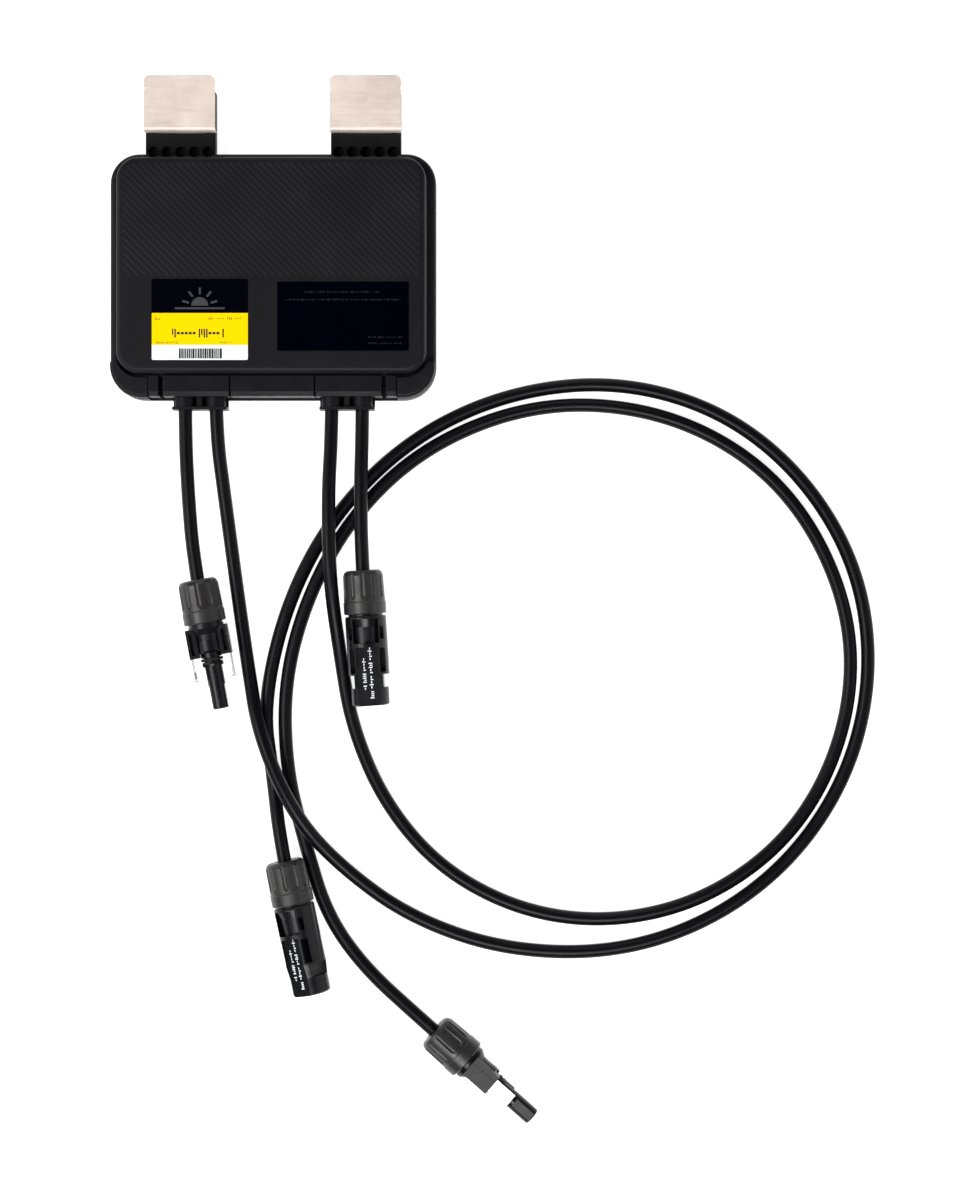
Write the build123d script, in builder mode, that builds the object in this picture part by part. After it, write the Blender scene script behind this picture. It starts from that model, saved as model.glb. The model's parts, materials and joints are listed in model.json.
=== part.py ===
from build123d import *
import math
import os

# Module-level power unit: a flat sealed box with two frame clips and four solar leads.
# Frame: X to the right, Y towards the frame clips, Z out of the lid. The box lies on z = 0 and the
# origin is under the middle of the box and its clips. All lengths are millimetres.

# ---- box
BODY_W = 138.4                      # across the box
UNIT_L = 137.0                      # front corners to the far edge of the clips
BODY_L = 104.2                      # the box alone
UNIT_H = 22.9
FRONT_Y = -UNIT_L / 2
REAR_Y = FRONT_Y + BODY_L
CLIP_END_Y = UNIT_L / 2
BASE_H = 12.0                       # height of the tray's rim
FLOOR_T = 2.2
FRONT_R = 14.0                      # corner radii of the outline
REAR_R = 12.5

LID_SIDE_INSET = 3.8
LID_REAR_INSET = 2.8
LID_FRONT_INSET = 10.0
LID_R = 9.5
LID_T = 2.2
LID_TOP = 22.7                      # the panel between the ribs
RIB_H = UNIT_H - LID_TOP
RIB_PITCH = 2.25
RIB_W = 1.1
RIB_FRONT_Y = -17.6                 # where the ribbed field ends
LABEL_T = 0.2
LABEL_POCKET = 0.25
# x, y, width and length of each label
LABELS = {
    "type_label": (-29.8, -36.0, 40.4, 34.0),
    "data_label": (30.4, -34.6, 55.2, 29.0),
}

CAVITY_W = 123.0
CAVITY_FRONT_Y = -56.4
CAVITY_REAR_Y = 29.0
CAVITY_R = 6.0
GASKET_W = 1.6
GASKET_T = 1.0
GASKET_GAP = 0.4                    # from the cavity's edge to the gasket's groove
LIP_H = 1.0                         # how far the lid drops inside the tray
LIP_T = 1.4

STANDOFFS = [(x, y) for x in (-52, 52) for y in (-46, 22)]
STANDOFF_R = 3.5
STANDOFF_TOP = 6.5
SCREW_R = 1.3
BOARD_T = 1.6
BOARD_TOP = STANDOFF_TOP + BOARD_T

# ---- front: cable blocks, bar and latches in the open front pocket
POCKET_HALF_W = 52.8
POCKET_REAR_Y = -59.0
POCKET_FLOOR = 3.0
FRONT_TOP = 16.0                    # top of the blocks
FACET_RUN = 1.8                     # the facet along their front edge
FACET_DROP = 0.9
BLOCK_FRONT_Y = FRONT_Y + 0.9
BLOCK_X = 32.3                      # middle of a cable block
BLOCK_W = 28.2
BAR_W = 35.4
LATCH_X = 50.3
LATCH_W = 4.4
EXIT_Z = 7.9                        # height of the leads where they leave the box
LEAD_X = (-37.8, -24.8, 24.8, 37.8)
COLLAR_D = 8.7
COLLAR_L = 5.4
FLANGE_W = 23.4                     # the plate across a block's two collars
FLANGE_H = 9.6
FLANGE_T = 1.2
WEB_TOP = 5.5                       # the web under the two collars
GLAND_R = 4.2                       # the rubber ring round a lead inside its block
GLAND_L = 6.0
GLAND_Y = POCKET_REAR_Y - GLAND_L / 2
LEAD_D = 5.9
LEAD_START_Y = -52.6

# ---- frame clips
CLIP_X = 39.4
CLIP_W = 30.2
SHEET_T = 0.8
CLIP_TOP_Z = 15.0
BEND_R = 1.6                        # outside radius of the bend above the riser
RISER_Y = 44.8
LEAF_START_Y = RISER_Y + BEND_R
LEAF_GAP = 0.1                      # seam between the bend and the springy leaf
LEAF_CORNER_R = 2.6
NICK_Y = 62.9                       # the small nicks in the leaf's sides
RISER_NECK_W = 22.0                 # the riser and leg below the tongue's top
LEG_Z = 3.0
LEG_END_Y = 58.0
TONGUE_W = 29.8
TONGUE_BOTTOM = LEG_Z + SHEET_T
TONGUE_TOP = 9.8
TONGUE_END_Y = 62.1

# ---- connectors
NUT_R = 9.0
NUT_L = 18.6
NUT_BORE_R = 7.6
FLUTE_R = 1.6
FLUTE_END = 11.8
NECK_R = 7.3
CAGE_R = 4.95
SEAL_R = 4.85
CONTACT_T = 16.8                    # where a lead ends inside its connector
PROBE_R = 3.7
PROBE_END = 55.6
MOUTH_R = 3.85
SOCKET_R = 8.7
SOCKET_END = 57.5
FOOT_R = 8.05
SEAL_BORE_R = 4.75                  # the mouth's outer step, which takes the plug's O-ring
O_RING_T = 34.3
WING_X = 9.05                       # outer face of a plug's shoulder
WING_END = 33.0                     # where a latch spring leaves its shoulder
SPRING_X = 8.1                      # inner face of a latch spring
SPRING_T = 0.4
SPRING_W = 6.4
SPRING_START = 30.4
SPRING_END = 43.0
NUT_Z = 9.1                         # height of a connector's axis where its nut touches the table
LEAD_LIE = 3.0                      # height of a lead that lies on the table
REAR_RUN = 8.0                      # straight stretch of a lead behind its nut
RAISED_Z = 10.6                     # axis of the connector whose foot lies over a lead

os.makedirs("parts", exist_ok=True)


def save(part, name):
    """Label a finished part and write it as its own STEP file."""
    part.label = name
    export_step(part, f"parts/{name}.step")
    print(f"{name}: {len(part.solids())} solids, {part.volume:.1f} mm3")


def outline(half_w, front_y, rear_y, front_r, rear_r):
    """A rectangle with one radius for the two front corners and one for the two rear corners."""
    with BuildSketch() as shape:
        with Locations((0, (front_y + rear_y) / 2)):
            Rectangle(2 * half_w, rear_y - front_y)
        front = shape.vertices().group_by(Axis.Y)[0]
        fillet(front, front_r)
        rear = shape.vertices().group_by(Axis.Y)[-1]
        fillet(rear, rear_r)
    return shape.sketch


def box(x, y, z):
    """A plain box from three (low, high) pairs, to be added or cut in an open part."""
    return Box(
        x[1] - x[0], y[1] - y[0], z[1] - z[0],
        align=(Align.MIN, Align.MIN, Align.MIN), mode=Mode.PRIVATE,
    ).moved(Location((x[0], y[0], z[0])))


# ---------------------------------------------------------------- box
BODY_OUTLINE = outline(BODY_W / 2, FRONT_Y, REAR_Y, FRONT_R, REAR_R)
LID_HALF_W = BODY_W / 2 - LID_SIDE_INSET
LID_FRONT_Y = FRONT_Y + LID_FRONT_INSET
LID_REAR_Y = REAR_Y - LID_REAR_INSET
LID_OUTLINE = outline(LID_HALF_W, LID_FRONT_Y, LID_REAR_Y, LID_R, LID_R)
CAVITY_OUTLINE = outline(CAVITY_W / 2, CAVITY_FRONT_Y, CAVITY_REAR_Y, CAVITY_R, CAVITY_R)
GASKET_RING = offset(CAVITY_OUTLINE, GASKET_GAP + GASKET_W) - offset(CAVITY_OUTLINE, GASKET_GAP)


def base_shell():
    """The tray: floor, walls, front corner trims and the two tongues that carry the clips."""
    with BuildPart() as tray:
        with BuildSketch(Plane.XY):
            add(BODY_OUTLINE)
        extrude(amount=BASE_H)
        fillet(tray.edges().group_by(Axis.Z)[-1], 2.2)
        chamfer(tray.edges().group_by(Axis.Z)[0], 0.8)
        # corner trims that rise beside the cable blocks
        with BuildSketch(Plane.XY.offset(BASE_H - 4)):
            add(offset(BODY_OUTLINE, -0.3, mode=Mode.PRIVATE))
            Rectangle(2 * POCKET_HALF_W, 300, mode=Mode.SUBTRACT)
            add(offset(LID_OUTLINE, 1.3, mode=Mode.PRIVATE), mode=Mode.SUBTRACT)
            with Locations((0, 50)):
                Rectangle(200, 206, mode=Mode.SUBTRACT)
        extrude(amount=FRONT_TOP - BASE_H + 4)
        trims = tray.edges().group_by(Axis.Z)[-1]
        fillet(trims.filter_by(GeomType.CIRCLE).sort_by(SortBy.RADIUS)[-2:], 1.6)
        # the space for the electronics, with the groove for the gasket round it
        with BuildSketch(Plane.XY.offset(FLOOR_T)):
            add(CAVITY_OUTLINE)
        extrude(amount=BASE_H, mode=Mode.SUBTRACT)
        with BuildSketch(Plane.XY.offset(BASE_H - GASKET_T)):
            add(GASKET_RING)
        extrude(amount=GASKET_T, mode=Mode.SUBTRACT)
        # the open pocket along the front, and the way through for each lead
        add(
            box((-POCKET_HALF_W, POCKET_HALF_W), (FRONT_Y - 1, POCKET_REAR_Y), (POCKET_FLOOR, 30)),
            mode=Mode.SUBTRACT,
        )
        with Locations(*[Plane((x, POCKET_REAR_Y + 1.3, EXIT_Z), z_dir=(0, 1, 0)) for x in LEAD_X]):
            Cylinder(LEAD_D / 2 + 0.08, 6, mode=Mode.SUBTRACT)
        # board standoffs with their screw holes
        with Locations(*[(x, y, FLOOR_T) for x, y in STANDOFFS]):
            Cylinder(STANDOFF_R, STANDOFF_TOP - FLOOR_T, align=(Align.CENTER, Align.CENTER, Align.MIN))
        with Locations(*[(x, y, STANDOFF_TOP) for x, y in STANDOFFS]):
            Cylinder(SCREW_R, 7.0, mode=Mode.SUBTRACT)
        # the clip tongues, each with five round pockets against the box
        for side in (-1, 1):
            x = side * CLIP_X
            add(box(
                (x - TONGUE_W / 2, x + TONGUE_W / 2), (REAR_Y - 3, TONGUE_END_Y),
                (TONGUE_BOTTOM, TONGUE_TOP),
            ))
            with Locations(*[(x + 5.8 * (i - 2), REAR_Y + 0.9, TONGUE_TOP) for i in range(5)]):
                Cylinder(2.45, 8.0, mode=Mode.SUBTRACT)
            # the slot that the clip's riser passes through
            slot_w = RISER_NECK_W / 2 + 0.2
            add(
                box((x - slot_w, x + slot_w), (RISER_Y - 0.1, RISER_Y + SHEET_T + 0.1), (0, 20)),
                mode=Mode.SUBTRACT,
            )
        # shallow panel with three ribs in the back
        with BuildSketch(Plane.XY):
            with Locations((0, -17)):
                RectangleRounded(112, 82, 8)
            with Locations((0, -37.5), (0, -17), (0, 3.5)):
                Rectangle(100, 3.0, mode=Mode.SUBTRACT)
        extrude(amount=0.7, mode=Mode.SUBTRACT)
    return tray.part


def lid_cover():
    """The lid: a rounded shell with a locating lip, a ribbed rear field and two label pockets."""
    with BuildPart() as lid:
        with BuildSketch(Plane.XY.offset(BASE_H)):
            add(LID_OUTLINE)
        extrude(amount=LID_TOP - BASE_H, taper=2)
        fillet(lid.edges().group_by(Axis.Z)[-1], 2.0)
        with BuildSketch(Plane.XY.offset(BASE_H)):
            add(offset(CAVITY_OUTLINE, 0.3, mode=Mode.PRIVATE))
        extrude(amount=LID_TOP - LID_T - BASE_H, mode=Mode.SUBTRACT)
        # the lip that drops inside the tray
        with BuildSketch(Plane.XY.offset(BASE_H - LIP_H)):
            add(offset(CAVITY_OUTLINE, -0.15, mode=Mode.PRIVATE))
            add(offset(CAVITY_OUTLINE, -0.15 - LIP_T, mode=Mode.PRIVATE), mode=Mode.SUBTRACT)
        extrude(amount=LIP_H + 2.0)
        with BuildSketch(Plane.XY.offset(BASE_H)):
            add(offset(CAVITY_OUTLINE, 0.35, mode=Mode.PRIVATE))
            add(offset(CAVITY_OUTLINE, -0.15 - LIP_T, mode=Mode.PRIVATE), mode=Mode.SUBTRACT)
        extrude(amount=2.0)
        # diagonal ribs over the rear part of the panel
        with BuildSketch(Plane.XY.offset(LID_TOP)):
            rows = math.ceil(2 * LID_HALF_W / RIB_PITCH)
            with Locations(Location((0, 0, 0), (0, 0, -45))):
                with GridLocations(1, RIB_PITCH, 1, rows):
                    Rectangle(260, RIB_W)
            field = offset(LID_OUTLINE, -3.1, mode=Mode.PRIVATE)
            add(field, mode=Mode.INTERSECT)
            with Locations((0, RIB_FRONT_Y - 50)):
                Rectangle(200, 100, mode=Mode.SUBTRACT)
        extrude(amount=RIB_H)
        # label pockets
        for x, y, width, length in LABELS.values():
            with BuildSketch(Plane.XY.offset(LID_TOP - LABEL_POCKET)):
                with Locations((x, y)):
                    RectangleRounded(width + 0.4, length + 0.4, 0.8)
            extrude(amount=LABEL_POCKET, mode=Mode.SUBTRACT)
    return lid.part


def label(x, y, width, length):
    """A thin sticker in its pocket."""
    with BuildPart() as sticker:
        with BuildSketch(Plane.XY.offset(LID_TOP - LABEL_POCKET)):
            with Locations((x, y)):
                RectangleRounded(width, length, 0.6)
        extrude(amount=LABEL_T)
    return sticker.part


def gasket():
    """The ring seal under the lid."""
    with BuildPart() as ring:
        with BuildSketch(Plane.XY.offset(BASE_H - GASKET_T)):
            add(GASKET_RING)
        extrude(amount=GASKET_T)
    return ring.part


def front_profile(x0, x1):
    """A bar of the front strip: flat top, gently sloping facet along the front, upright front face."""
    with BuildPart() as bar:
        with BuildSketch(Plane.YZ.offset(x0)):
            with BuildLine():
                Polyline(
                    (POCKET_REAR_Y, POCKET_FLOOR),
                    (BLOCK_FRONT_Y, POCKET_FLOOR),
                    (BLOCK_FRONT_Y, FRONT_TOP - FACET_DROP),
                    (BLOCK_FRONT_Y + FACET_RUN, FRONT_TOP),
                    (POCKET_REAR_Y, FRONT_TOP),
                    close=True,
                )
            make_face()
        extrude(amount=x1 - x0)
        top_front = bar.edges().filter_by(Axis.X).group_by(Axis.Z)[-1].sort_by(Axis.Y)[0]
        fillet(top_front, 0.9)
        ends = bar.faces().filter_by(Axis.X)
        fillet(ends.edges().filter_by(Axis.Y).group_by(Axis.Z)[-1], 0.35)
    return bar.part


def cable_block(x, sign):
    """The clamp block of a pair of leads, with its twin collars, flange and polarity sign."""
    leads = [lead for lead in LEAD_X if lead * x > 0]
    middle = sum(leads) / 2
    with BuildPart() as block:
        add(front_profile(x - BLOCK_W / 2, x + BLOCK_W / 2))
        with Locations(*[Plane((lead, BLOCK_FRONT_Y, EXIT_Z), z_dir=(0, -1, 0)) for lead in leads]):
            Cylinder(COLLAR_D / 2, 2 * COLLAR_L)
        flange_y = BLOCK_FRONT_Y - COLLAR_L + FLANGE_T
        with BuildSketch(Plane((middle, flange_y, EXIT_Z), x_dir=(1, 0, 0), z_dir=(0, -1, 0))):
            RectangleRounded(FLANGE_W, FLANGE_H, 1.6)
        extrude(amount=FLANGE_T)
        pin = Plane((middle, BLOCK_FRONT_Y, EXIT_Z), x_dir=(1, 0, 0), z_dir=(0, -1, 0))
        with BuildSketch(pin):
            Rectangle(2.2, 7.0)
        extrude(amount=COLLAR_L)
        add(box(
            (middle - FLANGE_W / 2, middle + FLANGE_W / 2), (BLOCK_FRONT_Y - COLLAR_L, BLOCK_FRONT_Y),
            (EXIT_Z - FLANGE_H / 2, WEB_TOP),
        ))
        # the stepped bore for each seal and lead
        with Locations(*[Plane((lead, BLOCK_FRONT_Y, EXIT_Z), z_dir=(0, -1, 0)) for lead in leads]):
            Cylinder(LEAD_D / 2 + 0.25, 40, mode=Mode.SUBTRACT)
        with Locations(*[Plane((lead, GLAND_Y, EXIT_Z), z_dir=(0, -1, 0)) for lead in leads]):
            Cylinder(GLAND_R, GLAND_L, mode=Mode.SUBTRACT)
        # the engraved polarity sign
        with BuildSketch(Plane.XY.offset(FRONT_TOP)):
            with Locations((middle, FRONT_Y + 5.6)):
                Rectangle(2.8, 0.7)
                if sign == "+":
                    Rectangle(0.7, 2.8)
        extrude(amount=-0.25, mode=Mode.SUBTRACT)
    return block.part


def seal_pair(x):
    """The two rubber rings that grip the leads inside a cable block."""
    leads = [lead for lead in LEAD_X if lead * x > 0]
    with BuildPart() as seals:
        with Locations(*[Plane((lead, GLAND_Y, EXIT_Z), z_dir=(0, -1, 0)) for lead in leads]):
            Cylinder(GLAND_R, GLAND_L)
            Cylinder(LEAD_D / 2, GLAND_L, mode=Mode.SUBTRACT)
    return seals.part


def latches():
    """The two small snap blocks that hold the cable blocks in the tray."""
    with BuildPart() as pair:
        for side in (-1, 1):
            x = side * LATCH_X
            add(front_profile(x - LATCH_W / 2, x + LATCH_W / 2))
    return pair.part


# ---------------------------------------------------------------- frame clips
def frame_clip(x):
    """The fixed part of a clip: a leg under the tongue, the riser through it and the bend on top."""
    bend_z = CLIP_TOP_Z - BEND_R
    inner = BEND_R - SHEET_T
    middle = math.sqrt(0.5)
    with BuildPart() as clip:
        with BuildSketch(Plane.YZ.offset(x - CLIP_W / 2)):
            with BuildLine():
                Polyline(
                    (RISER_Y, bend_z), (RISER_Y, LEG_Z), (LEG_END_Y, LEG_Z),
                    (LEG_END_Y, LEG_Z + SHEET_T), (RISER_Y + SHEET_T, LEG_Z + SHEET_T),
                    (RISER_Y + SHEET_T, bend_z),
                )
                ThreePointArc(
                    (RISER_Y + SHEET_T, bend_z),
                    (LEAF_START_Y - inner * middle, bend_z + inner * middle),
                    (LEAF_START_Y, bend_z + inner),
                )
                Line((LEAF_START_Y, bend_z + inner), (LEAF_START_Y, CLIP_TOP_Z))
                ThreePointArc(
                    (LEAF_START_Y, CLIP_TOP_Z),
                    (LEAF_START_Y - BEND_R * middle, bend_z + BEND_R * middle),
                    (RISER_Y, bend_z),
                )
            make_face()
        extrude(amount=CLIP_W)
        # the narrower neck below the tongue's top
        for side in (-1, 1):
            across = sorted((x + side * RISER_NECK_W / 2, x + side * CLIP_W))
            add(box(across, (RISER_Y - 1, LEG_END_Y + 1), (0, TONGUE_TOP + 0.1)), mode=Mode.SUBTRACT)
    return clip.part


def clip_leaf(x):
    """The springy top leaf of a clip, with rounded far corners and a small nick in each side."""
    start = LEAF_START_Y + LEAF_GAP
    with BuildPart() as leaf:
        add(box((x - CLIP_W / 2, x + CLIP_W / 2), (start, CLIP_END_Y), (CLIP_TOP_Z - SHEET_T, CLIP_TOP_Z)))
        fillet(leaf.edges().filter_by(Axis.Z).group_by(Axis.Y)[-1], LEAF_CORNER_R)
        with Locations(*[(x + side * CLIP_W / 2, NICK_Y, CLIP_TOP_Z) for side in (-1, 1)]):
            Box(1.0, 0.9, 4 * SHEET_T, mode=Mode.SUBTRACT)
    return leaf.part



# ---------------------------------------------------------------- electronics
def on_board(x, y, width, length, height, radius=0.5):
    """A rounded block that stands on the circuit board."""
    with BuildPart() as block:
        with BuildSketch(Plane.XY.offset(BOARD_TOP)):
            with Locations((x, y)):
                RectangleRounded(width, length, radius)
        extrude(amount=height)
        chamfer(block.edges().group_by(Axis.Z)[-1], 0.3)
    return block.part


def circuit_board():
    with BuildPart() as board:
        with BuildSketch(Plane.XY.offset(STANDOFF_TOP)):
            with Locations((0, -11.5)):
                RectangleRounded(114, 77, 2)
            with Locations(*STANDOFFS):
                Circle(1.7, mode=Mode.SUBTRACT)
        extrude(amount=BOARD_T)
    return board.part


def board_screws():
    """Four pan-head screws with a cross recess."""
    with BuildPart() as screws:
        with Locations(*[(x, y, BOARD_TOP) for x, y in STANDOFFS]):
            Cylinder(2.8, 1.8, align=(Align.CENTER, Align.CENTER, Align.MIN))
            Cylinder(SCREW_R, BOARD_T + 3, align=(Align.CENTER, Align.CENTER, Align.MAX))
        with Locations(*[(x, y, BOARD_TOP + 1.5) for x, y in STANDOFFS]):
            Box(2.8, 0.6, 0.8, mode=Mode.SUBTRACT)
            Box(0.6, 2.8, 0.8, mode=Mode.SUBTRACT)
    return screws.part


def power_inductors():
    """Two shielded inductors."""
    with BuildPart() as coils:
        for x in (-22, 8):
            add(on_board(x, 8, 24, 24, 10.5, 3))
            with Locations((x, 8, BOARD_TOP + 10.5)):
                Cylinder(7.0, 1.2, mode=Mode.SUBTRACT)
    return coils.part


def mosfets():
    """Four power transistors in a row before the heat spreader."""
    with BuildPart() as row:
        for x in (-30, -12, 6, 24):
            add(on_board(x, -14.6, 10.0, 9.0, 4.4))
    return row.part


def heat_spreader():
    """The aluminium angle behind the transistors."""
    with BuildPart() as bar:
        with BuildSketch(Plane.YZ.offset(-38)):
            with BuildLine():
                Polyline(
                    (-10.0, BOARD_TOP), (-5.0, BOARD_TOP), (-5.0, BOARD_TOP + 1.6),
                    (-8.4, BOARD_TOP + 1.6), (-8.4, BOARD_TOP + 10.0), (-10.0, BOARD_TOP + 10.0),
                    close=True,
                )
            make_face()
        extrude(amount=70)
    return bar.part


def capacitors():
    """Six upright electrolytic capacitors with scored tops."""
    with BuildPart() as cans:
        places = [(31 + 10.2 * i, 1.5 + 10 * j, BOARD_TOP) for i in range(2) for j in range(3)]
        with Locations(*places):
            Cylinder(4.6, 11.5, align=(Align.CENTER, Align.CENTER, Align.MIN))
        with Locations(*[(x, y, z + 11.5) for x, y, z in places]):
            Box(6.0, 0.5, 0.5, mode=Mode.SUBTRACT)
            Box(0.5, 6.0, 0.5, mode=Mode.SUBTRACT)
    return cans.part


def bypass_diodes():
    """Three diodes between the lead terminals."""
    with BuildPart() as row:
        for x in (-9, 0, 9):
            add(on_board(x, -40, 6.0, 10.0, 4.6))
    return row.part


def controller():
    with BuildPart() as chip:
        add(on_board(40, -16, 9, 9, 1.2, 0.4))
        add(on_board(40, -28, 6, 5, 1.0, 0.4))
    return chip.part


def radio_shield():
    """The metal can over the radio."""
    with BuildPart() as can:
        add(on_board(-48, -18, 16, 20, 3.0, 1.0))
        with BuildSketch(Plane.XY.offset(BOARD_TOP)):
            with Locations((-48, -18)):
                Rectangle(15, 19)
        extrude(amount=2.6, mode=Mode.SUBTRACT)
    return can.part


def antenna():
    """A bent strip antenna beside the radio."""
    with BuildPart() as strip:
        with BuildSketch(Plane.XY.offset(BOARD_TOP)):
            with Locations((-45, 10)):
                Rectangle(14, 1.6)
            with Locations((-51.2, 4)):
                Rectangle(1.6, 12)
            with Locations((-45, -1.2)):
                Rectangle(14, 1.6)
        extrude(amount=0.8)
    return strip.part


def terminal_lugs():
    """The four crimp lugs that take the lead conductors to the board."""
    with BuildPart() as lugs:
        for x in LEAD_X:
            end = Plane((x, LEAD_START_Y, EXIT_Z), x_dir=(1, 0, 0), z_dir=(0, 1, 0))
            with BuildSketch(end):
                Circle(2.6)
            extrude(amount=2.6)
            add(box((x - 2.6, x + 2.6), (LEAD_START_Y + 1.5, -42), (BOARD_TOP, BOARD_TOP + 1.2)))
    return lugs.part


def potting_layer():
    """The cast resin bed under the board."""
    with BuildPart() as bed:
        with BuildSketch(Plane.XY.offset(FLOOR_T)):
            add(offset(CAVITY_OUTLINE, -0.1, mode=Mode.PRIVATE))
            with Locations(*STANDOFFS):
                Circle(STANDOFF_R + 0.1, mode=Mode.SUBTRACT)
        extrude(amount=2.6)
    return bed.part


# ---------------------------------------------------------------- connectors
def along(frame, distance):
    """The point at this distance along a connector's axis from the back of its nut."""
    return frame.origin + frame.z_dir * distance


def turned(frame, profile):
    """A solid of revolution about a connector's axis, from (distance, radius) points."""
    side = Plane(origin=frame.origin, x_dir=frame.z_dir, z_dir=frame.x_dir)
    with BuildPart() as lathe:
        with BuildSketch(side):
            with BuildLine():
                Polyline(*profile, close=True)
            make_face()
        revolve(axis=Axis(frame.origin, frame.z_dir))
    return lathe.part


def on_axis(frame, x, y, t):
    """A box given by (low, high) pairs in a connector's own directions."""
    middle = [(pair[0] + pair[1]) / 2 for pair in (x, y)]
    block = Box(
        x[1] - x[0], y[1] - y[0], t[1] - t[0],
        align=(Align.CENTER, Align.CENTER, Align.MIN), mode=Mode.PRIVATE,
    )
    return block.moved(frame.location * Location((middle[0], middle[1], t[0])))


def cap_nut(frame):
    """The fluted cap nut that clamps the lead."""
    with BuildPart() as flute:
        with BuildSketch(Plane.XZ):
            with BuildLine():
                Polyline((0, -14), (FLUTE_R, -14), (FLUTE_R, -0.8), (0.9, 0.9), (0, 0.9), close=True)
            make_face()
        revolve(axis=Axis.Z)
    with BuildPart() as nut:
        add(turned(frame, [
            (0, LEAD_D / 2 + 0.35), (0, 7.0), (0.7, 7.9), (2.2, 8.5), (13.2, 8.75), (13.6, NUT_R),
            (NUT_L - 0.4, NUT_R), (NUT_L, NUT_R - 0.4), (NUT_L, NUT_BORE_R), (4.2, NUT_BORE_R),
            (4.2, 5.2), (3.2, LEAD_D / 2 + 0.35),
        ]))
        with Locations(Plane(along(frame, FLUTE_END), x_dir=frame.x_dir, z_dir=frame.z_dir)):
            with PolarLocations(NUT_R + 0.75, 12):
                add(flute.part, mode=Mode.SUBTRACT)
    return nut.part


def clamp_cage(frame):
    """The fingered cage that the nut presses round the seal."""
    with BuildPart() as cage:
        add(turned(frame, [
            (4.4, CAGE_R), (4.4, 7.1), (6.2, 7.1), (6.2, 6.0), (14.0, 6.0), (14.0, CAGE_R),
        ]))
        middle = Plane(along(frame, 11.2), x_dir=frame.x_dir, z_dir=frame.z_dir)
        with Locations(middle):
            with PolarLocations(5.5, 8):
                Box(3.0, 1.0, 6.0, mode=Mode.SUBTRACT)
    return cage.part


def cable_seal(frame):
    """The rubber sleeve between the lead and the cage."""
    return turned(frame, [(6.4, LEAD_D / 2), (6.4, SEAL_R), (15.0, SEAL_R), (15.0, LEAD_D / 2)])


def neck(bore_r, core_r):
    """The part of a housing's profile that the nut covers, from the bore out to the core."""
    return [
        (CONTACT_T - 0.2, bore_r), (CONTACT_T - 0.2, 6.25), (9.0, 6.25), (9.0, NECK_R - 0.3),
        (9.3, NECK_R), (NUT_L + 0.8, NECK_R), (NUT_L + 0.8, core_r),
    ]


def plug_housing(frame):
    """The housing that ends in a probe, with a shoulder for a latch spring on each side."""
    with BuildPart() as housing:
        add(turned(frame, neck(3.1, 7.6) + [
            (20.8, 7.6), (23.4, 5.9), (26.0, 5.7), (30.4, 5.9), (31.4, 4.4), (33.4, 4.4), (33.4, 3.5),
            (35.2, 3.5), (35.2, 4.4), (36.2, 4.6), (37.2, 4.4), (37.2, PROBE_R),
            (PROBE_END - 0.5, PROBE_R), (PROBE_END, PROBE_R - 0.5), (PROBE_END, 3.1),
        ]))
        for side in (-1, 1):
            wing = sorted((side * 4.6, side * (WING_X - 0.25)))
            add(on_axis(frame, wing, (-4.6, 4.6), (20.4, WING_END)))
            rib = sorted((side * 8.0, side * WING_X))
            add(on_axis(frame, rib, (-1.8, 1.8), (20.4, WING_END)))
            # the slot for the spring, and a recess above and below between shoulder and core
            slot = sorted((side * (SPRING_X - 0.3), side * (SPRING_X + SPRING_T + 0.05)))
            add(on_axis(frame, slot, (-3.5, 3.5), (SPRING_START - 0.4, WING_END)), mode=Mode.SUBTRACT)
            recess = sorted((side * 6.3, side * 7.7))
            for level in ((1.0, 5.0), (-5.0, -1.0)):
                add(on_axis(frame, recess, level, (22.2, 31.6)), mode=Mode.SUBTRACT)
            flat = sorted((side * 3.2, side * 4.6))
            add(on_axis(frame, flat, (-4.0, 4.0), (45.4, 56.0)), mode=Mode.SUBTRACT)
        add(turned(frame, [(17.0, 0), (17.0, 3.1), (57.0, 3.1), (57.0, 0)]), mode=Mode.SUBTRACT)
    return housing.part


def latch_spring(frame, side):
    """A flat steel latch spring with an inward barb and a pressed lance, held in the shoulder."""
    across = (-SPRING_W / 2, SPRING_W / 2)
    with BuildPart() as spring:
        leaf = sorted((side * SPRING_X, side * (SPRING_X + SPRING_T)))
        add(on_axis(frame, leaf, across, (SPRING_START, SPRING_END)))
        barb = sorted((side * (SPRING_X - 0.9), side * (SPRING_X + SPRING_T)))
        add(on_axis(frame, barb, across, (SPRING_END - 0.6, SPRING_END)))
        lance = sorted((side * (SPRING_X - 0.5), side * (SPRING_X + SPRING_T)))
        add(on_axis(frame, lance, (-1.2, 1.2), (38.6, 41.4)))
    return spring.part


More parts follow.
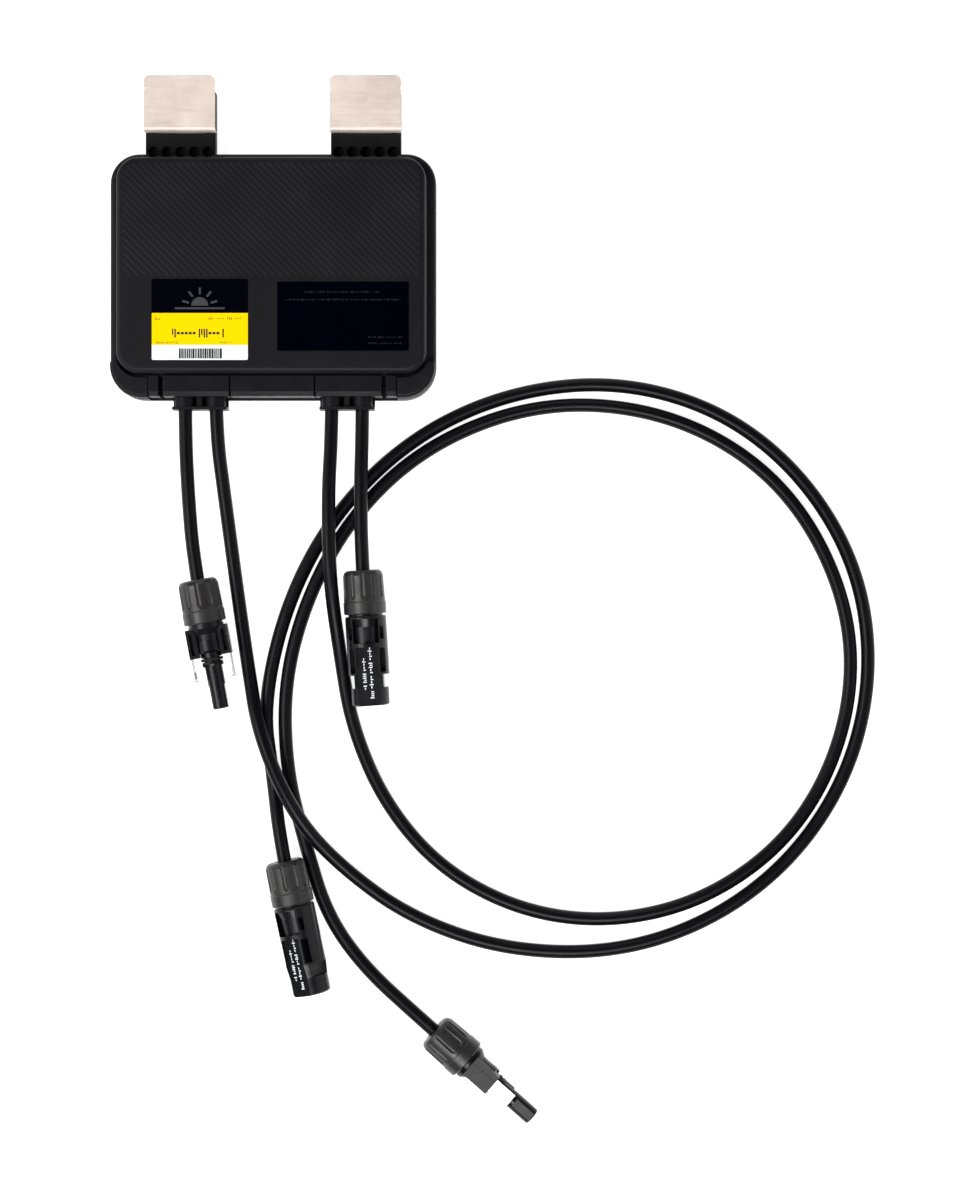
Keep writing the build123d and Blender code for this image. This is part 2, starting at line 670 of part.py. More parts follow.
def socket_housing(frame):
    """The housing with a round mouth, side rails, windows and the foot that a latch grips."""
    waist = turned(frame, [(20.0, 0), (20.0, 7.9), (24.0, 6.9), (31.4, 6.5), (31.4, 0)])
    with BuildPart() as housing:
        add(turned(frame, neck(4.6, 8.3) + [
            (20.0, SOCKET_R), (44.2, SOCKET_R), (50.0, FOOT_R), (SOCKET_END - 0.6, FOOT_R),
            (SOCKET_END, FOOT_R - 0.6), (SOCKET_END, SEAL_BORE_R), (52.8, SEAL_BORE_R), (52.4, MOUTH_R),
            (30.0, MOUTH_R), (29.0, 4.6),
        ]))
        for side in (-1, 1):
            # above and below: the waist between the rails, then a flat panel to the foot's end
            open_side = sorted((side * 2.0, side * 9.5))
            add(on_axis(frame, (-5.4, 5.4), open_side, (20.6, 31.0)) - waist, mode=Mode.SUBTRACT)
            panel = sorted((side * 6.6, side * 9.5))
            add(on_axis(frame, (-4.7, 4.7), panel, (32.6, 58.0)), mode=Mode.SUBTRACT)
            # the windows beside the inner tube, closed by a web at mid-height
            window = sorted((side * 5.3, side * 7.5))
            small = sorted((side * 5.9, side * 7.4))
            for level in ((0.8, 9.5), (-9.5, -0.8)):
                add(on_axis(frame, window, level, (33.2, 43.4)), mode=Mode.SUBTRACT)
                add(on_axis(frame, small, level, (24.0, 29.4)), mode=Mode.SUBTRACT)
            # the notch behind the foot
            notch = sorted((side * 6.1, side * 9.5))
            add(on_axis(frame, notch, (-9.5, 9.5), (44.4, 50.0)), mode=Mode.SUBTRACT)
    return housing.part


def plug_contact(frame):
    """The crimped socket tube inside a probe."""
    return turned(frame, [
        (CONTACT_T, 0), (CONTACT_T, 2.4), (26.0, 2.4), (27.0, 2.9), (53.0, 2.9), (53.0, 2.05), (30.0, 2.05),
        (30.0, 0),
    ])


def socket_contact(frame):
    """The crimped pin inside a mouth, with the collar that holds it in the housing."""
    return turned(frame, [
        (CONTACT_T, 0), (CONTACT_T, 2.4), (25.0, 2.4), (25.0, 4.5), (28.6, 4.5), (28.6, 2.0),
        (48.4, 2.0), (50.4, 0.8), (50.4, 0),
    ])


def connector_frame(x, y, z, heading, roll):
    """The plane at the back of a connector's nut: z runs along the connector, out of the lead.

    heading turns the level axis from +X, and roll turns the connector about that axis.
    """
    axis = Vector(math.cos(math.radians(heading)), math.sin(math.radians(heading)), 0)
    level = Vector(0, 0, 1).cross(axis).normalized()
    return Plane(origin=(x, y, z), x_dir=level.rotate(Axis((0, 0, 0), axis), roll), z_dir=axis)


# each connector's place: x, y and height of the nut's back, heading, roll
CONNECTORS = {
    "negative_short": connector_frame(-32.5, -145.4, NUT_Z, -79.3, 0),
    "positive_long": connector_frame(68.4, -337.3, NUT_Z, -41.3, 90),
    "negative_long": connector_frame(4.5, -265.0, NUT_Z, -77.9, 35),
    "positive_short": connector_frame(38.0, -141.3, RAISED_Z, -86.4, 0),
}
PLUGS = ("negative_short", "positive_long")


# ---------------------------------------------------------------- leads
def lead_route(name, points):
    """The route's corners, ended by the straight stretch through the connector's nut."""
    frame = CONNECTORS[name]
    return [Vector(*p) for p in points] + [along(frame, -REAR_RUN), along(frame, CONTACT_T)]


LEADS = {
    "negative_short": [
        (-37.8, LEAD_START_Y, EXIT_Z), (-37.8, -81, EXIT_Z), (-36.4, -109, 8.9),
    ],
    "negative_long": [
        (-24.8, LEAD_START_Y, EXIT_Z), (-24.8, -81, EXIT_Z), (-21, -112, 4.4), (-16.2, -149, LEAD_LIE),
        (-11, -184, 4.6), (-6, -211, 12.2), (8, -244, 12.2), (27, -267, 4.2), (58, -290, LEAD_LIE),
        (99, -304, LEAD_LIE), (146, -305, LEAD_LIE), (188, -291, LEAD_LIE), (223, -264, LEAD_LIE),
        (247, -226, LEAD_LIE), (256, -182, LEAD_LIE), (249, -138, LEAD_LIE), (225, -99, LEAD_LIE),
        (190, -72, LEAD_LIE), (146, -60, LEAD_LIE), (100, -65, LEAD_LIE), (59, -84, LEAD_LIE),
        (26, -116, LEAD_LIE), (5, -155, LEAD_LIE), (-5, -199, LEAD_LIE), (-0.8, -229, LEAD_LIE),
    ],
    "positive_long": [
        (24.8, LEAD_START_Y, EXIT_Z), (24.8, -81, EXIT_Z), (23.3, -111, 12.4), (24.2, -147, 12.4),
        (28, -177, 4.2), (33, -208, LEAD_LIE), (47, -241, LEAD_LIE), (71, -269, LEAD_LIE),
        (105, -287, LEAD_LIE), (142, -292, LEAD_LIE), (180, -284, LEAD_LIE), (213, -263, LEAD_LIE),
        (235, -234, LEAD_LIE), (247, -197, LEAD_LIE), (246, -160, LEAD_LIE), (231, -123, LEAD_LIE),
        (207, -95, LEAD_LIE), (173, -76, LEAD_LIE), (134, -69, LEAD_LIE), (97, -74, LEAD_LIE),
        (61, -91, LEAD_LIE), (33, -118, LEAD_LIE), (14, -152, LEAD_LIE), (4, -189, LEAD_LIE),
        (5, -227, LEAD_LIE), (13, -258, LEAD_LIE), (22, -288, LEAD_LIE), (38, -311, LEAD_LIE),
    ],
    "positive_short": [
        (37.8, LEAD_START_Y, EXIT_Z), (37.8, -80, EXIT_Z), (37.1, -106, RAISED_Z),
    ],
}


def lead(name):
    """A lead's tube along straight runs joined by arcs as large as the runs allow."""
    route = lead_route(name, LEADS[name])
    radii = []
    for before, corner, after in zip(route, route[1:], route[2:]):
        turn = math.radians((corner - before).get_angle(after - corner))
        run = min((corner - before).length, (after - corner).length)
        radii.append(0.45 * run / math.tan(turn / 2))
    with BuildLine() as path:
        FilletPolyline(*route, radius=radii)
    length = path.wires()[0].length
    with BuildPart() as tube:
        with BuildSketch(Plane(path.wires()[0] @ 0, z_dir=path.wires()[0] % 0)):
            Circle(LEAD_D / 2)
        sweep(path=path.wires()[0])
    section = math.pi * (LEAD_D / 2) ** 2
    print(f"lead {name}: length {length:.1f}, volume / section {tube.part.volume / section:.1f}")
    print("  radii", " ".join(f"{r:.0f}" for r in radii))
    return tube.part


# ---------------------------------------------------------------- assembly
save(base_shell(), "base_shell")
save(lid_cover(), "lid_cover")
save(gasket(), "lid_gasket")
for name, place in LABELS.items():
    save(label(*place), name)
save(cable_block(-BLOCK_X, "-"), "cable_block_negative")
save(cable_block(BLOCK_X, "+"), "cable_block_positive")
save(seal_pair(-1), "gland_seals_negative")
save(seal_pair(1), "gland_seals_positive")
save(front_profile(-BAR_W / 2, BAR_W / 2), "front_bar")
save(latches(), "block_latches")
for side_name, x in (("left", -CLIP_X), ("right", CLIP_X)):
    save(frame_clip(x), f"frame_clip_{side_name}")
    save(clip_leaf(x), f"clip_leaf_{side_name}")

save(circuit_board(), "circuit_board")
save(board_screws(), "board_screws")
save(power_inductors(), "power_inductors")
save(mosfets(), "power_transistors")
save(heat_spreader(), "heat_spreader")
save(capacitors(), "capacitors")
save(bypass_diodes(), "bypass_diodes")
save(controller(), "controller_chips")
save(radio_shield(), "radio_shield")
save(antenna(), "antenna_strip")
save(terminal_lugs(), "terminal_lugs")
save(potting_layer(), "potting_layer")

for name, frame in CONNECTORS.items():
    save(cap_nut(frame), f"cap_nut_{name}")
    save(clamp_cage(frame), f"clamp_cage_{name}")
    save(cable_seal(frame), f"cable_seal_{name}")
    if name in PLUGS:
        save(plug_housing(frame), f"plug_housing_{name}")
        save(plug_contact(frame), f"plug_contact_{name}")
        save(latch_spring(frame, -1), f"latch_spring_a_{name}")
        save(latch_spring(frame, 1), f"latch_spring_b_{name}")
    else:
        save(socket_housing(frame), f"socket_housing_{name}")
        save(socket_contact(frame), f"socket_contact_{name}")

with BuildPart() as o_rings:
    for name in PLUGS:
        with Locations(Plane(along(CONNECTORS[name], O_RING_T), z_dir=CONNECTORS[name].z_dir)):
            Torus(4.15, 0.65)
save(o_rings.part, "plug_o_rings")

for name in LEADS:
    save(lead(name), f"lead_{name}")
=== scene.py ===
import json
import math

import bmesh
import bpy
from mathutils import Matrix, Vector


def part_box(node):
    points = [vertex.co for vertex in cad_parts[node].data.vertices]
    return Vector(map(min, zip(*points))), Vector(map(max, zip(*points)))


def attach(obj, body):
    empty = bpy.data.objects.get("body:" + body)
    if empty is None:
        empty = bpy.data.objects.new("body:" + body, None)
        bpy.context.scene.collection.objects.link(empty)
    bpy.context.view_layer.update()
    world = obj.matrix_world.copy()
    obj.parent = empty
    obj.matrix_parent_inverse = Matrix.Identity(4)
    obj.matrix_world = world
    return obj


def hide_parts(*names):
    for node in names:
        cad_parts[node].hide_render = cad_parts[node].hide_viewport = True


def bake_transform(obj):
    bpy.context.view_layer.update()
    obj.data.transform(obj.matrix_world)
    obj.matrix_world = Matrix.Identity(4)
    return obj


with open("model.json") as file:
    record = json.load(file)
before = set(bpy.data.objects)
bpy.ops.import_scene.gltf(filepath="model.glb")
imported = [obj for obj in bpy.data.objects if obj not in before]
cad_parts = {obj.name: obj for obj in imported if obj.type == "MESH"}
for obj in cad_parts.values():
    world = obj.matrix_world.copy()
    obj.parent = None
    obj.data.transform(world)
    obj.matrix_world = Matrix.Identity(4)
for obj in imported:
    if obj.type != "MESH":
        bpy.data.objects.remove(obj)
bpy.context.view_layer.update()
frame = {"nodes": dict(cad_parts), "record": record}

MM = 0.001
LEAD_D = 5.9 * MM
PRINT_LIFT = 0.01 * MM               # how far a printed mark stands off its label

# millimetres, as in the leads' routes
LEAD_LIE = 3.0                       # height of a lead's axis where it lies on the floor
EXIT_Z = 7.9                         # height of the leads' axes where they leave the box
LEAD_START_Y = -52.6                 # where the leads begin, inside the box
NUT_Z = 9.1                          # height of a connector's axis where its nut touches the floor
RAISED_Z = 10.6                      # height of the connector whose foot lies over a lead
REAR_RUN = 8.0                       # straight stretch of a lead behind its nut
CONTACT_T = 16.8                     # where a lead ends, along its connector


# ---------------------------------------------------------------- camera
def make_camera():
    """Straight down from about a metre, over the middle of the box and its laid-out leads."""
    data = bpy.data.cameras.new("camera")
    data.lens = 73.34                # millimetres, on a sensor 36 mm wide
    data.sensor_width = 36.0
    data.clip_start = 0.05
    camera = bpy.data.objects.new("camera", data)
    camera.location = (0.0909, -0.1539, 1.05)
    bpy.context.scene.collection.objects.link(camera)
    bpy.context.scene.camera = camera


# ---------------------------------------------------------------- connectors' places
class Place:
    """Where a connector lies: the back of its nut, its axis and the two directions across it."""

    def __init__(self, x, y, z, heading, roll):
        self.origin = Vector((x, y, z)) * MM
        self.axis = Vector((math.cos(math.radians(heading)), math.sin(math.radians(heading)), 0))
        level = Vector((0, 0, 1)).cross(self.axis).normalized()
        self.across = Matrix.Rotation(math.radians(roll), 3, self.axis) @ level
        self.up = self.axis.cross(self.across)

    def point(self, x, y, t):
        """A point from millimetres across, up and along the connector."""
        return self.origin + (self.across * x + self.up * y + self.axis * t) * MM


PLACES = {
    "negative_short": Place(-32.5, -145.4, NUT_Z, -79.3, 0),
    "positive_long": Place(68.4, -337.3, NUT_Z, -41.3, 90),
    "negative_long": Place(4.5, -265.0, NUT_Z, -77.9, 35),
    "positive_short": Place(38.0, -141.3, RAISED_Z, -86.4, 0),
}
PLUGS = ("negative_short", "positive_long")

# ---------------------------------------------------------------- leads
# the route's points of each lead, in millimetres, before the stretch through its nut
LEADS = {
    "negative_short": (0.110, [
        (-37.8, LEAD_START_Y, EXIT_Z), (-37.8, -81, EXIT_Z), (-36.4, -109, 8.9),
    ]),
    "negative_long": (1.018, [
        (-24.8, LEAD_START_Y, EXIT_Z), (-24.8, -81, EXIT_Z), (-21, -112, 4.4), (-16.2, -149, LEAD_LIE),
        (-11, -184, 4.6), (-6, -211, 12.2), (8, -244, 12.2), (27, -267, 4.2), (58, -290, LEAD_LIE),
        (99, -304, LEAD_LIE), (146, -305, LEAD_LIE), (188, -291, LEAD_LIE), (223, -264, LEAD_LIE),
        (247, -226, LEAD_LIE), (256, -182, LEAD_LIE), (249, -138, LEAD_LIE), (225, -99, LEAD_LIE),
        (190, -72, LEAD_LIE), (146, -60, LEAD_LIE), (100, -65, LEAD_LIE), (59, -84, LEAD_LIE),
        (26, -116, LEAD_LIE), (5, -155, LEAD_LIE), (-5, -199, LEAD_LIE), (-0.8, -229, LEAD_LIE),
    ]),
    "positive_long": (1.024, [
        (24.8, LEAD_START_Y, EXIT_Z), (24.8, -81, EXIT_Z), (23.3, -111, 12.4), (24.2, -147, 12.4),
        (28, -177, 4.2), (33, -208, LEAD_LIE), (47, -241, LEAD_LIE), (71, -269, LEAD_LIE),
        (105, -287, LEAD_LIE), (142, -292, LEAD_LIE), (180, -284, LEAD_LIE), (213, -263, LEAD_LIE),
        (235, -234, LEAD_LIE), (247, -197, LEAD_LIE), (246, -160, LEAD_LIE), (231, -123, LEAD_LIE),
        (207, -95, LEAD_LIE), (173, -76, LEAD_LIE), (134, -69, LEAD_LIE), (97, -74, LEAD_LIE),
        (61, -91, LEAD_LIE), (33, -118, LEAD_LIE), (14, -152, LEAD_LIE), (4, -189, LEAD_LIE),
        (5, -227, LEAD_LIE), (13, -258, LEAD_LIE), (22, -288, LEAD_LIE), (38, -311, LEAD_LIE),
    ]),
    "positive_short": (0.105, [
        (37.8, LEAD_START_Y, EXIT_Z), (37.8, -80, EXIT_Z), (37.1, -106, RAISED_Z),
    ]),
}


def make_lead(name):
    """One lead: a smooth round curve from its terminal to its connector's contact."""
    length, points = LEADS[name]
    place = PLACES[name]
    route = [Vector(p) * MM for p in points]
    route += [place.point(0, 0, -REAR_RUN), place.point(0, 0, CONTACT_T)]
    data = bpy.data.curves.new(f"lead_curve_{name}", "CURVE")
    data.dimensions = "3D"
    data.resolution_u = 16
    data.bevel_depth = 1.0           # times each point's radius
    data.bevel_resolution = 8
    data.use_fill_caps = True
    spline = data.splines.new("NURBS")
    spline.points.add(len(route) - 1)
    for point, place_at in zip(spline.points, route):
        point.co = (*place_at, 1)
        point.radius = LEAD_D / 2
    spline.order_u = 3
    spline.use_endpoint_u = True
    lead = bpy.data.objects.new(f"free_lead_{name}", data)
    bpy.context.scene.collection.objects.link(lead)
    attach(lead, "root")
    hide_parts(f"lead_{name}")
    data.materials.append(finish("lead_jacket"))
    kinds = ["cap_nut", "clamp_cage", "cable_seal"]
    if name in PLUGS:
        kinds += ["plug_housing", "plug_contact", "latch_spring_a", "latch_spring_b"]
    else:
        kinds += ["socket_housing", "socket_contact"]


# ---------------------------------------------------------------- materials
TONE_LOW, TONE_HIGH = 0.35, 0.65     # the part of a noise's range that a colour spreads over
DRAWN = (1, 12, 12)                  # stretches a noise into a grain along x
BRUSHED = (0.12, 3.0, 3.0)           # stretches it into longer, finer strokes along x


class Paint:
    """A material's nodes, with the few links that most surfaces here need."""

    def __init__(self, name):
        self.material = bpy.data.materials.new(name)
        self.material.use_nodes = True
        self.tree = self.material.node_tree
        self.shader = self.tree.nodes["Principled BSDF"]
        self.place = self.add("ShaderNodeTexCoord").outputs["Object"]

    def add(self, kind, **values):
        node = self.tree.nodes.new(kind)
        for key, value in values.items():
            setattr(node, key, value)
        return node

    def link(self, source, target):
        self.tree.links.new(source, target)

    def set(self, **values):
        for key, value in values.items():
            self.shader.inputs[key.replace("_", " ")].default_value = value

    def math(self, operation, first, second):
        """The output of a math node on sockets or numbers."""
        node = self.add("ShaderNodeMath", operation=operation)
        for socket, value in zip(node.inputs, (first, second)):
            if isinstance(value, (int, float)):
                socket.default_value = value
            else:
                self.link(value, socket)
        return node.outputs[0]

    def noise(self, scale, detail=3.0, roughness=0.5, stretch=None):
        """Noise over the object's own coordinates, in features per metre."""
        node = self.add("ShaderNodeTexNoise")
        node.inputs["Scale"].default_value = scale
        node.inputs["Detail"].default_value = detail
        node.inputs["Roughness"].default_value = roughness
        source = self.place
        if stretch:
            mapping = self.add("ShaderNodeMapping")
            mapping.inputs["Scale"].default_value = stretch
            self.link(source, mapping.inputs["Vector"])
            source = mapping.outputs[0]
        self.link(source, node.inputs["Vector"])
        return node.outputs["Fac"]

    def span(self, value, low, high, to_low, to_high):
        """A socket's range mapped to another, clamped."""
        node = self.add("ShaderNodeMapRange")
        self.link(value, node.inputs["Value"])
        for key, number in zip(("From Min", "From Max", "To Min", "To Max"), (low, high, to_low, to_high)):
            node.inputs[key].default_value = number
        return node.outputs[0]

    def mix(self, factor, first, second):
        """A colour between two colours or colour sockets."""
        node = self.add("ShaderNodeMix", data_type="RGBA")
        self.link(factor, node.inputs["Factor"])
        for socket, value in ((node.inputs[6], first), (node.inputs[7], second)):
            if isinstance(value, tuple):
                socket.default_value = (*value, 1)
            else:
                self.link(value, socket)
        return node.outputs[2]

    def along(self, axis):
        """The object's own coordinate along one axis: 0, 1 or 2."""
        node = self.add("ShaderNodeSeparateXYZ")
        self.link(self.place, node.inputs[0])
        return node.outputs[axis]

    def tone(self, broad, fine, share):
        """A tone from 0 to 1, with this share from one noise and the rest from another."""
        mixed = self.math("ADD", self.math("MULTIPLY", broad, share), self.math("MULTIPLY", fine, 1 - share))
        return self.span(mixed, TONE_LOW, TONE_HIGH, 0, 1)

    def colour(self, source):
        self.link(source, self.shader.inputs["Base Color"])

    def rough(self, source):
        self.link(source, self.shader.inputs["Roughness"])

    def bump(self, height, strength, distance):
        """A bump from a height socket."""
        node = self.add("ShaderNodeBump")
        node.inputs["Strength"].default_value = strength
        node.inputs["Distance"].default_value = distance
        self.link(height, node.inputs["Height"])
        self.link(node.outputs[0], self.shader.inputs["Normal"])


def moulded(name, dark, light, roughness, spread, shine=0.12, grain=2600, grain_depth=0.05):
    """Moulded plastic: a fine spark-eroded grain, faint flow marks and uneven gloss."""
    paint = Paint(name)
    paint.set(Specular_IOR_Level=shine)
    cloud = paint.noise(38, detail=4, roughness=0.6)
    fine = paint.noise(grain, detail=2, roughness=0.6)
    paint.colour(paint.mix(paint.tone(cloud, fine, 0.6), dark, light))
    gloss = paint.noise(160, detail=3, roughness=0.5)
    paint.rough(paint.span(gloss, 0.3, 0.7, roughness - spread, roughness + spread))
    paint.bump(fine, 0.35, grain_depth * MM)
    return paint.material


def ink(name, dark, light):
    """Screen-printed ink, a little uneven."""
    return moulded(name, dark, light, roughness=0.5, spread=0.05, shine=0.2, grain=1800, grain_depth=0.004)


def metal(name, dark, light, roughness):
    """Bare sheet or drawn metal: a directional grain, soft stains and uneven gloss."""
    spread = 0.08
    paint = Paint(name)
    paint.set(Metallic=1.0)
    cloud = paint.noise(60, detail=4, roughness=0.6)
    grain = paint.noise(900, detail=3, roughness=0.6, stretch=DRAWN)
    paint.colour(paint.mix(paint.tone(cloud, grain, 0.7), dark, light))
    paint.rough(paint.span(grain, 0.3, 0.7, roughness - spread, roughness + spread))
    paint.bump(grain, 0.3, 0.01 * MM)
    return paint.material


def lid_plastic():
    """The lid's moulded plastic: matt between the ribs and smoother on their tops, with a painted highlight
    that lightens the rib tops and all else above the panel.
    """
    rib_foot = 22.74 * MM            # just above the lid's panel, which its ribs rise from
    highlight_ramp = 0.1 * MM                  # the height over which the tone turns from the base tone to the painted highlight
    paint = Paint("lid_plastic")
    paint.set(Specular_IOR_Level=0.14)
    cloud = paint.noise(38, detail=4, roughness=0.6)
    fine = paint.noise(2600, detail=2, roughness=0.6)
    tone = paint.tone(cloud, fine, 0.6)
    low_parts = paint.mix(tone, (0.0034, 0.0034, 0.0047), (0.0056, 0.0056, 0.0072))
    # painted highlight: the rib tops and other raised parts get a lighter tone, standing in for the light
    # that they catch
    rib_top_highlight = paint.mix(tone, (0.0085, 0.0085, 0.0100), (0.0140, 0.0140, 0.0160))
    # mask of the painted highlight above the panel; it also sets the smoother gloss of the rib tops
    raised_highlight_mask = paint.span(paint.along(2), rib_foot, rib_foot + highlight_ramp, 0, 1)
    paint.colour(paint.mix(raised_highlight_mask, low_parts, rib_top_highlight))
    uneven = paint.span(cloud, 0.3, 0.7, -0.03, 0.03)
    paint.rough(paint.math("ADD", paint.span(raised_highlight_mask, 0, 1, 0.47, 0.40), uneven))
    paint.bump(fine, 0.35, 0.05 * MM)
    return paint.material


def type_label():
    """The light sticker: a black band, a yellow band and a white band."""
    white_share, yellow_share = 0.185, 0.580     # how far up the sticker the two bands reach
    low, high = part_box("type_label")
    length = high.y - low.y
    paint = Paint("type_label")
    paint.set(Specular_IOR_Level=0.01)
    y = paint.along(1)
    in_yellow = paint.math("GREATER_THAN", y, low.y + white_share * length)
    in_black = paint.math("GREATER_THAN", y, low.y + yellow_share * length)
    fibre = paint.noise(700, detail=3, roughness=0.6)
    grain = paint.span(fibre, 0.3, 0.7, 0, 1)
    white = paint.mix(grain, (0.74, 0.78, 0.78), (0.80, 0.83, 0.83))
    yellow = paint.mix(grain, (0.82, 0.56, 0.0005), (0.88, 0.61, 0.001))
    black = paint.mix(grain, (0.0002, 0.0002, 0.0018), (0.0006, 0.0006, 0.003))
    paint.colour(paint.mix(in_black, paint.mix(in_yellow, white, yellow), black))
    paint.rough(paint.span(fibre, 0.3, 0.7, 0.42, 0.55))
    paint.bump(paint.noise(300, detail=3, roughness=0.6), 0.1, 0.02 * MM)
    return paint.material


def clip_steel():
    """Warm satin stainless sheet: fine brushing across the clip and broad soft stains."""
    paint = Paint("clip_steel")
    paint.set(Metallic=0.3, Specular_IOR_Level=0.4)
    stain = paint.noise(90, detail=4, roughness=0.62)
    patch = paint.noise(34, detail=2, roughness=0.5)
    brush = paint.noise(500, detail=3, roughness=0.6, stretch=BRUSHED)
    soft = paint.math("ADD", paint.math("MULTIPLY", stain, 0.45), paint.math("MULTIPLY", patch, 0.4))
    tone = paint.math("ADD", soft, paint.math("MULTIPLY", brush, 0.15))
    paint.colour(paint.mix(paint.span(tone, 0.36, 0.62, 0, 1), (0.60, 0.50, 0.44), (0.80, 0.685, 0.61)))
    paint.rough(paint.span(brush, 0.3, 0.7, 0.40, 0.56))
    paint.bump(brush, 0.25, 0.02 * MM)
    return paint.material


# dark tone, light tone, roughness and its spread, then shine, grains per metre and their depth in mm
MOULDED = {
    "shell_plastic": ((0.004, 0.004, 0.005), (0.007, 0.007, 0.008), 0.46, 0.06),
    "block_plastic": ((0.003, 0.003, 0.004), (0.006, 0.006, 0.007), 0.42, 0.06),
    "seal_rubber": ((0.010, 0.010, 0.010), (0.018, 0.018, 0.018), 0.6, 0.05),
    "label_dark": ((0.0001, 0.0001, 0.0016), (0.0003, 0.0003, 0.0026), 0.5, 0.04, 0.005, 900, 0.01),
    "board_laminate": ((0.01, 0.10, 0.035), (0.02, 0.15, 0.05), 0.35, 0.05),
    "ferrite": ((0.035, 0.035, 0.037), (0.055, 0.055, 0.058), 0.6, 0.05),
    "chip_epoxy": ((0.012, 0.012, 0.013), (0.018, 0.018, 0.019), 0.5, 0.05),
    "potting_resin": ((0.012, 0.012, 0.014), (0.02, 0.02, 0.022), 0.4, 0.08),
    "nut_plastic": ((0.0075, 0.0068, 0.0066), (0.015, 0.0137, 0.0133), 0.37, 0.06, 0.40),
    "cage_plastic": ((0.006, 0.006, 0.006), (0.009, 0.009, 0.009), 0.5, 0.06),
    "connector_plastic": ((0.0016, 0.0016, 0.0026), (0.0034, 0.0034, 0.0048), 0.30, 0.05, 0.22),
    "lead_jacket": ((0.0012, 0.0012, 0.0019), (0.0024, 0.0024, 0.0033), 0.33, 0.04, 0.12, 1500, 0.04),
}
# dark tone, light tone
INK = {
    "ink_grey": ((0.030, 0.030, 0.036), (0.042, 0.042, 0.050)),
    "ink_dark": ((0.005, 0.005, 0.005), (0.012, 0.012, 0.012)),
    "ink_faint": ((0.008, 0.008, 0.012), (0.014, 0.014, 0.018)),
    "ink_white": ((0.62, 0.64, 0.68), (0.8, 0.82, 0.84)),
}
# dark tone, light tone, roughness
METAL = {
    "spring_steel": ((0.44, 0.43, 0.42), (0.56, 0.55, 0.54), 0.36),
    "zinc_steel": ((0.50, 0.50, 0.53), (0.62, 0.62, 0.65), 0.35),
    "tinned_steel": ((0.60, 0.60, 0.60), (0.70, 0.70, 0.71), 0.35),
    "contact_metal": ((0.66, 0.64, 0.60), (0.78, 0.76, 0.72), 0.28),
    "heat_aluminium": ((0.66, 0.67, 0.69), (0.76, 0.77, 0.79), 0.4),
    "can_aluminium": ((0.55, 0.57, 0.61), (0.66, 0.68, 0.72), 0.35),
}
OWN = {"lid_plastic": lid_plastic, "label_yellow": type_label, "clip_steel": clip_steel}
MADE = {}


def finish(name):
    """The material of a slot or an ink, made the first time that it is asked for."""
    if name not in MADE:
        if name in OWN:
            MADE[name] = OWN[name]()
        elif name in METAL:
            MADE[name] = metal(name, *METAL[name])
        elif name in INK:
            MADE[name] = ink(name, *INK[name])
        else:
            MADE[name] = moulded(name, *MOULDED[name])
    return MADE[name]


def paint_cad():
    """Give every CAD node its slot's material."""
    slots = {row["node"]: row["material_slot"] for row in frame["record"]["subparts"]}
    for name, node in frame["nodes"].items():
        node.data.materials.clear()
        node.data.materials.append(finish(slots[name]))


# ---------------------------------------------------------------- pieces
def new_piece(name, mesh, material):
    """A mesh as a piece that takes its finish from a slot."""
    piece = bpy.data.objects.new(name, mesh)
    bpy.context.scene.collection.objects.link(piece)
    mesh.materials.append(material)
    return piece


def settle(piece):
    """Apply a piece's modifiers to its mesh."""
    graph = bpy.context.evaluated_depsgraph_get()
    mesh = bpy.data.meshes.new_from_object(piece.evaluated_get(graph))
    piece.modifiers.clear()
    piece.data = mesh


def smooth(mesh, angle=35):
    """Shade a mesh smooth, with creases where faces meet at more than this angle."""
    mesh.shade_smooth()
    mesh.set_sharp_from_angle(angle=math.radians(angle))


def arc(centre, radius, start, end, count):
    """Points on an arc in the YZ plane, with its angles in degrees from +Y."""
    points = []
    for i in range(count + 1):
        angle = math.radians(start + (end - start) * i / count)
        points.append((centre[0] + radius * math.cos(angle), centre[1] + radius * math.sin(angle)))
    return points


